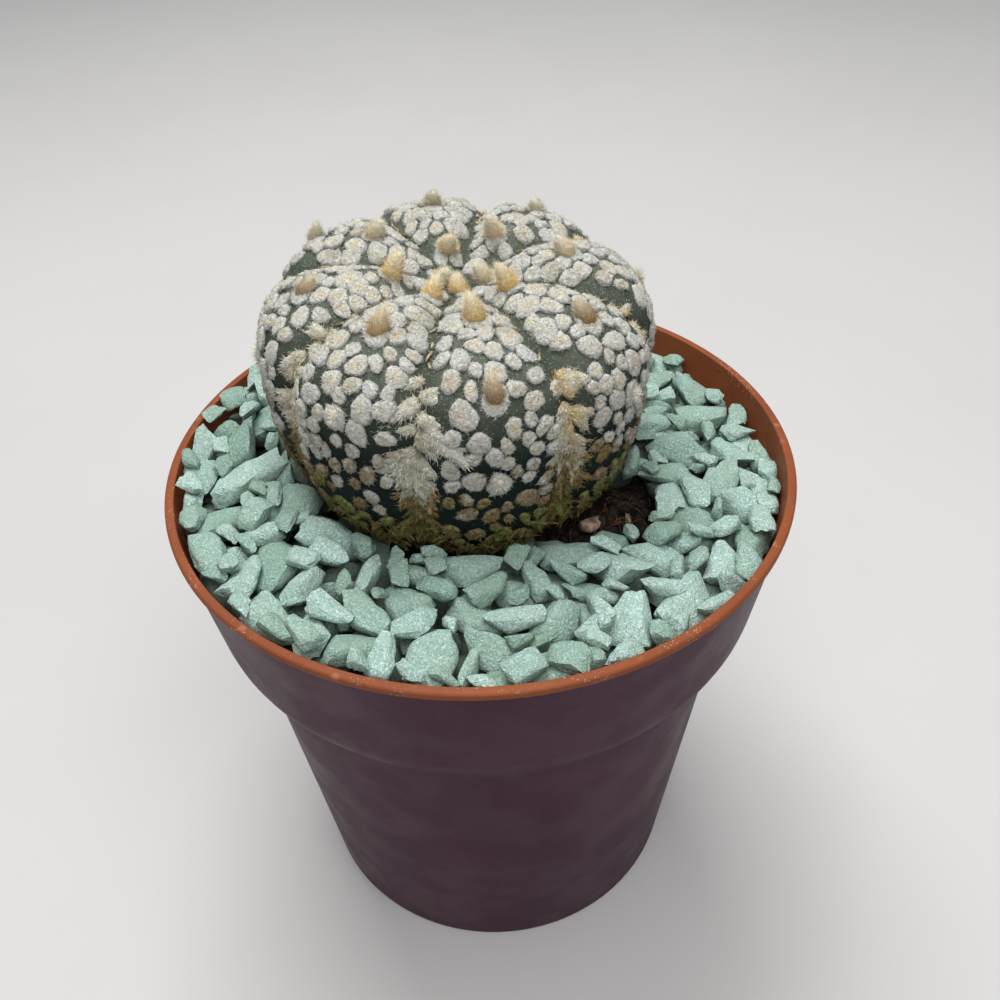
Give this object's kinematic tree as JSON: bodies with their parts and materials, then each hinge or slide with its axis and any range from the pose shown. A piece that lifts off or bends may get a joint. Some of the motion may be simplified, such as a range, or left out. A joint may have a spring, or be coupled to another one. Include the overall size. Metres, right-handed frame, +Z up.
{
  "type": "potted star cactus",
  "caption": "Star cactus, a flattened ribbed globe with white wool flecks and no spines, in a small tapered plastic pot with soil and pale green gravel.",
  "frame": {"origin": "centre of the pot's foot, on the surface that it stands on", "axes": "+Z up the pot's axis, -Y towards the viewer of the picture, +X to that viewer's right"},
  "size_m": [0.065, 0.065, 0.0827],
  "materials": {
    "pot_plastic": "satin terracotta-coloured plastic with fine dust and small scuffs",
    "soil": "dark crumbly potting soil with reddish-brown fibres",
    "gravel": "matt pale mint-green crushed stone, pitted, with fine dark specks",
    "cactus_skin": "dull grey-green skin under cream-white felt flecks and buff wool"
  },
  "bodies": {
    "root": {"pot": "pot_plastic", "soil": "soil", "gravel": "gravel", "cactus": "cactus_skin"}
  },
  "joints": []
}
